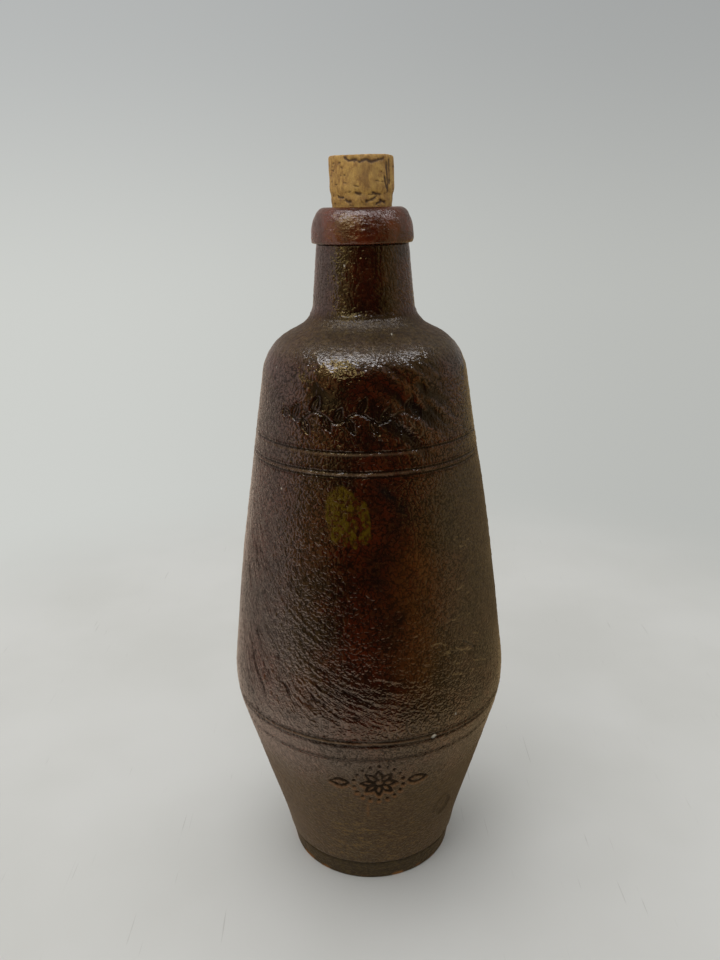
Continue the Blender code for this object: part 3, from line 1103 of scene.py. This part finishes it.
def glaze_color(tree, point, crease):
    """Red-brown and olive clouds, mottled brown where the skin is dull, with the marks over them, painted
    shade in valleys and creases, and painted highlights on fold crests and burrs.
    """
    clouds = texture_noise(point, 26, 4.0, 0.6)
    fine = texture_noise(point, 1.6, 3.0, 0.6)
    grain = texture_noise(object_point(tree, (0.5, 0.5, 1.3)), 0.9, 3.0, 0.6)
    mottled = blend(remap(grain, 0.38, 0.68), GLAZE_DULL_DARK, GLAZE_DULL)
    color = blend(remap(clouds, 0.36, 0.68), GLAZE_DEEP, GLAZE_RED)
    color = blend(remap(fine, 0.46, 0.72, 0, 0.28), color, GLAZE_OLIVE)
    # Painted shade in the wrinkles' valleys
    color = blend(remap(mark(tree, "mark_ridge"), 0.34, 0.05, 0, 0.75), color, VALLEY_SHADE)
    # Painted shade in creases, which in the cut lines also stands for pooled glaze
    color = blend(crease * 0.8, color, CREASE_POOL_AND_SHADE)
    # Painted highlight on the folds' crests
    color = blend(mark(tree, "mark_crest_highlight") * 0.4, color, CREST_HIGHLIGHT)
    color = blend(mark(tree, "mark_dull") * 0.85, color, mottled)
    color = blend(mark(tree, "mark_amber") * 0.50, color, GLAZE_AMBER)
    # More painted shade in creases, over the dull skin's mottling
    color = blend(crease * 0.60, color, DULL_POOL_AND_SHADE)
    # Painted highlight on the lower burrs of some cut lines
    color = blend(mark(tree, "mark_rib_highlight") * 0.6, color, RIB_HIGHLIGHT)
    color = blend(mark(tree, "mark_patch") * remap(fine, 0.36, 0.54, 0.10, 1.0), color, GLAZE_PATCH)
    for name, amount, paint in PAINTED_MARKS:
        color = blend(mark(tree, name) * amount, color, paint)
    color = blend(mark(tree, "mark_bare"), color, blend(fine, BARE_CLAY_DARK, BARE_CLAY_LIGHT))
    return blend(mark(tree, "mark_inside"), color, UNGLAZED_INSIDE)


def glaze_roughness(tree, point):
    """Glossy with a fine speckle, and rougher on some marks."""
    roughness = remap(texture_noise(point, 0.9), 0.35, 0.7, 0.07, 0.15)
    for name, rise in ROUGH_MARKS:
        roughness = roughness + mark(tree, name) * rise
    return roughness


def glaze_reflection(tree, height, crease):
    """How strongly the glaze reflects: less on some marks, at the neck's base and on the cone."""
    level = 0.55 - mark(tree, "mark_dull") * 0.2
    level = level * (1.0 - mark(tree, "mark_stamp") * 0.8)
    level = level * remap(mark(tree, "mark_ridge"), 0.11, 0.36, 0.16, 1.06)
    for share, amount in (
        (crease, 0.80),
        (mark(tree, "mark_burr"), 0.62),
        (band(height, 0.2165, 0.2255, 0.002), 0.45),
        (mark(tree, "mark_dim"), 0.40),
        (band(height, 0.018, 0.062, 0.006), 0.25),
    ):
        level = level * (1.0 - share * amount)
    return level


def glaze_skin(tree, point, x, cells):
    """The height of the orange-peel skin, with hairlines that fall steeply on the left flank."""
    grit = texture_noise(point, 0.35) * 0.10
    belly = remap(x, -0.030, -0.012)
    hair = hairlines(point, 56) * (1.0 - belly) + hairlines(point, 30) * belly
    return cells + grit + hair * (mark(tree, "mark_hair") * 1.25)


def salt_glaze():
    """Iron-brown salt glaze, duller on the cone, with an orange-peel skin and painted shade in the seams
    between its cells.
    """
    material, tree, shader = new_material("brown_salt_glaze_visual")
    point = object_point(tree)
    x, _, height = parts_of(point)
    cells = billow(point, 1.6)
    amount = 0.90 - mark(tree, "mark_dull") * 0.40 - mark(tree, "mark_hair") * 0.35
    amount = amount * remap(height, 0.216, 0.224, 1.0, 0.5)
    # Painted shade in the seams between the peel's cells, weaker on dull skin, among hairlines and on the
    # neck
    crease = maths("MAXIMUM", mark(tree, "mark_crease"), remap(cells, 0.16, 0.02) * amount)
    skin = glaze_skin(tree, point, x, cells)
    inputs = {
        "Base Color": glaze_color(tree, point, crease),
        "Roughness": glaze_roughness(tree, point),
        "Specular IOR Level": glaze_reflection(tree, height, crease),
        "Normal": raised(skin, 1.0 - mark(tree, "mark_calm"), 0.00034),
    }
    set_inputs(shader, inputs)
    return material


def lip_glaze():
    """Smoother and redder than the wall, with level turning streaks."""
    material, tree, shader = new_material("red_lip_glaze_visual")
    point = object_point(tree)
    clouds = texture_noise(point, 9, 3.0, 0.6)
    streaks = texture_noise(object_point(tree, (0.12, 0.12, 1.0)), 0.8, 3.0, 0.6)
    color = blend(remap(clouds, 0.35, 0.7), LIP_DARK, LIP_RED)
    color = blend(remap(streaks, 0.5, 0.75, 0, 0.5), color, LIP_STREAK)
    skin = texture_noise(point, 0.8, 3.0, 0.55) + streaks * 0.5
    roughness = remap(streaks, 0.3, 0.7, 0.08, 0.17)
    inputs = {"Base Color": color, "Roughness": roughness, "Normal": raised(skin, 1.0, 0.00026)}
    set_inputs(shader, {**inputs, "IOR": 1.55})
    return material


def natural_cork():
    """Tan cork with fibres, pores, a faint stain and dark cracks."""
    material, tree, shader = new_material("natural_cork_visual")
    fibres = texture_noise(object_point(tree, (1.0, 1.0, 0.5)), 1.1, 4.0, 0.65)
    lumps = texture_noise(object_point(tree), 4.5, 3.0, 0.6)
    pores = texture_noise(object_point(tree, (0.6, 0.6, 1.6)), 0.55, 2.0, 0.6)
    color = blend(remap(fibres, 0.32, 0.7), CORK_BROWN, CORK_TAN)
    color = blend(remap(lumps, 0.42, 0.7, 0, 0.6), color, CORK_PALE)
    color = blend(remap(pores, 0.62, 0.74, 0, 0.6), color, CORK_PORE)
    color = blend(mark(tree, "mark_stain") * 0.75, color, CORK_STAIN)
    color = blend(mark(tree, "mark_pit") * 0.92, color, CORK_PIT)
    normal = raised(fibres + pores * -0.6, 0.6, 0.0003)
    set_inputs(shader, {"Base Color": color, "Roughness": 0.82, "Normal": normal})
    return material


# ---------------------------------------------------------------- stage, light and camera

TABLE_RADIUS = 3.0
CARD_RADIUS = 0.27
CARD_HEIGHTS = (0.001, 0.44)
CARD_HALF_ANGLE = 88
# Warm lamps on the card, as (lowest, highest, first azimuth, last azimuth, colour)
CARD_LAMPS = (
    (0.375, 0.425, -34, -8, (4.8, 3.8, 1.55)),
    (0.295, 0.335, -72, -40, (2.7, 2.1, 0.8)),
)
COOL_WHITE = (10.5, 10.3, 10.5, 1)
WARM_GOLD = (9.0, 7.0, 3.3, 1)
# Each panel is a bent level strip: its height, its colour, and its two long sides at places along
# it, as (x, near y, far y)
PANELS = (
    (
        "left_panel",
        0.9,
        COOL_WHITE,
        ((-0.60, -0.08, 0.10), (-0.40, -0.28, -0.08), (-0.05, -0.45, -0.24), (0.17, -0.41, -0.21)),
    ),
    (
        "right_panel",
        0.9,
        COOL_WHITE,
        ((0.38, -0.30, -0.10), (0.52, -0.20, 0.02), (0.66, -0.08, 0.16)),
    ),
    ("warm_panel", 0.50, WARM_GOLD, ((-0.30, -0.24, -0.13), (-0.12, -0.30, -0.19))),
)
# Studio lamps, as (name, place, size, watts)
LAMPS = (
    ("overhead", (-0.16, 0.10, 1.10), (1.1, 0.9), 4.6),
    ("front_left", (-0.45, -0.60, 0.75), (0.5, 0.3), 1.2),
)
LAMP_AIM = (0, 0, 0.15)
LAMP_COLOR = (1.0, 0.99, 0.97)
CAMERA_ACROSS = -0.0024
CAMERA_DEPTH = -0.313
CAMERA_OVER_LIP = 0.0004
CAMERA_DIP = 17.88
CAMERA_ROLL = -1.02
CAMERA_LENS = 31.875
CAMERA_SENSOR = 36


def background(tree, color, strength=1.0):
    return field(tree, "ShaderNodeBackground", 0, {"Color": color, "Strength": strength})


def mixed(share, first, second):
    """A mix of two shaders."""
    return field(share.tree, "ShaderNodeMixShader", 0, {0: share, 1: first, 2: second})


def ray(tree, kind):
    """1 where the ray is of that kind."""
    return field(tree, "ShaderNodeLightPath", kind)


def backdrop_color(direction):
    """The pale studio sweep's colour for a view direction: darker high up and to the right."""
    x, _, z = parts_of(direction)
    color = blend(remap(z, -0.12, 0.24), (0.560, 0.572, 0.548), (0.420, 0.432, 0.430))
    return scaled(color, remap(x, -0.42, 0.42, 1.10, 0.86))


def make_world():
    """Camera rays see the sweep, reflections see a warm room, and other rays an even pale light."""
    world = bpy.data.worlds.new("studio")
    bpy.context.scene.world = world
    world.use_nodes = True
    tree = world.node_tree
    tree.nodes.clear()
    direction = field(tree, "ShaderNodeTexCoord", "Generated")
    x, y, z = parts_of(direction)
    side = remap(x, -0.7, 0.7)
    behind = blend(side, (0.54, 0.43, 0.38), (0.30, 0.27, 0.24))
    beside = blend(side, (0.97, 0.76, 0.67), (0.48, 0.41, 0.33))
    mirrored = blend(remap(y, 0.25, 0.9), beside, behind)
    mirrored = blend(remap(z, 0.55, 0.9), mirrored, (0.52, 0.42, 0.34))
    soft = background(tree, (0.60, 0.60, 0.585, 1), 0.95)
    unseen = mixed(ray(tree, "Is Glossy Ray"), soft, background(tree, mirrored))
    both = mixed(ray(tree, "Is Camera Ray"), unseen, background(tree, backdrop_color(direction)))
    field_output(tree, "ShaderNodeOutputWorld", both)


def field_output(tree, kind, surface):
    """Ends a cleared node tree in an output node."""
    set_inputs(tree.nodes.new(kind), {"Surface": surface})


def table_scratches(point):
    """Hair scratches in three directions, each broken into patches, from 0 to 1."""
    lines = 0.0
    for turn, patches in ((0.35, 38.0), (1.75, 46.0), (2.6, 30.0)):
        inputs = {"Vector": point, "Rotation": (0, 0, turn), "Scale": (1.0, 0.03, 1.0)}
        turned = field(point.tree, "ShaderNodeMapping", 0, inputs)
        thin = remap(stage_noise(turned, 900.0, 1.0), 0.72, 0.78)
        here = remap(stage_noise(point, patches, 2.0), 0.52, 0.66)
        lines = maths("MAXIMUM", lines, thin * here)
    return lines


def mirrored_table(point, away):
    """The table as the glaze mirrors it: warmer, and varied with the distance from the bottle."""
    x, y, _ = parts_of(point)
    tint = blend(remap(x, -0.15, 0.15), (0.88, 0.71, 0.58), (0.50, 0.36, 0.19))
    strength = remap(away, 0.035, 0.05, 2.0, 1.42) * remap(away, 0.055, 0.11, 1.0, 1.6)
    strength = strength * remap(away, 0.20, 0.35, 1.0, 0.5) * remap(y, -0.06, 0.04, 1.0, 0.40)
    return scaled(tint, maths("MAXIMUM", strength, remap(away, 0.20, 0.40, 0.0, 1.0)))


def table_material():
    """A scratched pale table, which melts into the sweep away from the bottle."""
    material, tree, shader = new_material("pale_table")
    point = field(tree, "ShaderNodeTexCoord", "Object")
    away = field(tree, "ShaderNodeVectorMath", "Value", {0: point}, operation="LENGTH")
    clouds = remap(stage_noise(point, 9.0, 3.0), 0.3, 0.7)
    color = blend(clouds, (0.625, 0.625, 0.605), (0.67, 0.67, 0.655))
    color = blend(table_scratches(point) * 0.35, color, (0.36, 0.35, 0.33))
    color = blend(ray(tree, "Is Glossy Ray"), color, mirrored_table(point, away))
    set_inputs(shader, {"Base Color": color, "Roughness": 0.7, "Specular IOR Level": 0.0})
    outward = scaled(field(tree, "ShaderNodeNewGeometry", "Incoming"), -1.0)
    glow = field(tree, "ShaderNodeEmission", 0, {"Color": backdrop_color(outward), "Strength": 1.0})
    melt = remap(away, 0.26, 0.50) * ray(tree, "Is Camera Ray")
    surface = mixed(melt, Field(tree, shader.outputs[0]), glow)
    set_inputs(tree.nodes["Material Output"], {"Surface": surface})
    return material


def make_table():
    mesh = bpy.data.meshes.new("table")
    turns = np.linspace(0, 2 * math.pi, 96, endpoint=False)
    points = [(TABLE_RADIUS * math.cos(turn), TABLE_RADIUS * math.sin(turn), 0) for turn in turns]
    mesh.from_pydata(points, [], [list(range(len(points)))])
    mesh.materials.append(table_material())
    table = linked("table", mesh)
    table.location.z = CAD_BOX[0].z


def reflected_sheet(name, points, faces, color_of):
    """A glowing sheet on the stage that only reflections see. color_of colours its node tree."""
    material = bpy.data.materials.new(name)
    material.use_nodes = True
    tree = material.node_tree
    tree.nodes.clear()
    glow = field(tree, "ShaderNodeEmission", 0, {"Color": color_of(tree), "Strength": 1.0})
    field_output(tree, "ShaderNodeOutputMaterial", glow)
    mesh = bpy.data.meshes.new(name)
    mesh.from_pydata(points, [], faces)
    mesh.materials.append(material)
    sheet = linked(name, mesh)
    sheet.visible_camera = False
    sheet.visible_diffuse = False
    sheet.visible_shadow = False
    sheet.visible_transmission = False


def make_panels():
    """Panels overhead: two white ones for the shoulder's bright band, a warm one for gold glints."""
    for name, height, color, strip in PANELS:
        points = []
        for x, near_y, far_y in strip:
            points += [(x, near_y, height), (x, far_y, height)]
        faces = [(2 * at, 2 * at + 1, 2 * at + 3, 2 * at + 2) for at in range(len(strip) - 1)]
        reflected_sheet(name, points, faces, lambda tree: color)


def card_color(tree):
    """The card's colour: dark in the middle, warm to both sides, with two lamps, bright low down."""
    x, y, z = parts_of(field(tree, "ShaderNodeTexCoord", "Object"))
    turn = turn_of(x, y)
    color = blend(past(turn, -24, -32), (0.012, 0.008, 0.006), (0.42, 0.31, 0.12))
    color = blend(past(turn, 34, 46), color, (0.31, 0.21, 0.06))
    color = blend(past(turn, -60, -68), color, (1.10, 0.86, 0.74))
    color = blend(past(turn, 58, 67), color, (0.52, 0.40, 0.21))
    color = blend(remap(z, 0.33, 0.41) * 0.8, color, (0.42, 0.30, 0.14))
    for low, high, first, last, glow in CARD_LAMPS:
        beside = band(turn, math.radians(first), math.radians(last), math.radians(5))
        color = blend(band(z, low, high, 0.012) * beside, color, glow)
    low_color = blend(past(turn, -23, -42), (0.26, 0.150, 0.070), (2.8, 2.25, 1.84))
    low_color = blend(past(turn, 16, 40), low_color, (0.40, 0.25, 0.09))
    return blend(remap(z, 0.037, 0.0), color, low_color)


def make_dark_card():
    """A curved card round the bottle's front, which darkens the glaze's middle and tints its sides."""
    turns = np.radians(np.linspace(-CARD_HALF_ANGLE, CARD_HALF_ANGLE, 49))
    points = []
    for height in CARD_HEIGHTS:
        points += [(CARD_RADIUS * math.sin(turn), -CARD_RADIUS * math.cos(turn), height) for turn in turns]
    count = len(turns)
    faces = [(column, column + 1, count + column + 1, count + column) for column in range(count - 1)]
    reflected_sheet("dark_card", points, faces, card_color)


def make_lights():
    """Rectangular lamps that point at the bottle's middle and leave no reflection."""
    for name, location, size, power in LAMPS:
        data = bpy.data.lights.new(name, "AREA")
        data.shape = "RECTANGLE"
        data.size, data.size_y = size
        data.energy = power
        data.color = LAMP_COLOR
        lamp = linked(name, data)
        lamp.location = location
        toward = Vector(np.array(LAMP_AIM) - np.array(location))
        lamp.rotation_mode = "QUATERNION"
        lamp.rotation_quaternion = toward.to_track_quat("-Z", "Y")
        lamp.visible_glossy = False


def make_camera():
    """A phone-like view from just above the lip, tipped down at the bottle."""
    data = bpy.data.cameras.new("camera")
    data.lens = CAMERA_LENS
    data.sensor_width = CAMERA_SENSOR
    data.clip_start = 0.01
    camera = linked("camera", data)
    place = Matrix.Translation((CAMERA_ACROSS, CAMERA_DEPTH, LIP_HEIGHT * MM + CAMERA_OVER_LIP))
    tip = Matrix.Rotation(math.radians(90 - CAMERA_DIP), 4, "X")
    roll = Matrix.Rotation(math.radians(CAMERA_ROLL), 4, "Z")
    camera.matrix_world = place @ tip @ roll
    bpy.context.scene.camera = camera


# ---------------------------------------------------------------- assembly


def attach(piece, body, cad_node):
    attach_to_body(piece, body)
    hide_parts(cad_node)


attach(stoneware_piece(salt_glaze()), "bottle", "stoneware_body")
attach(collar_piece(lip_glaze()), "bottle", "lip_collar")
attach(cork_piece(natural_cork()), "cork", "cork_stopper")
make_world()
make_table()
make_dark_card()
make_panels()
make_lights()
make_camera()
bpy.context.scene.view_settings.view_transform = "Standard"
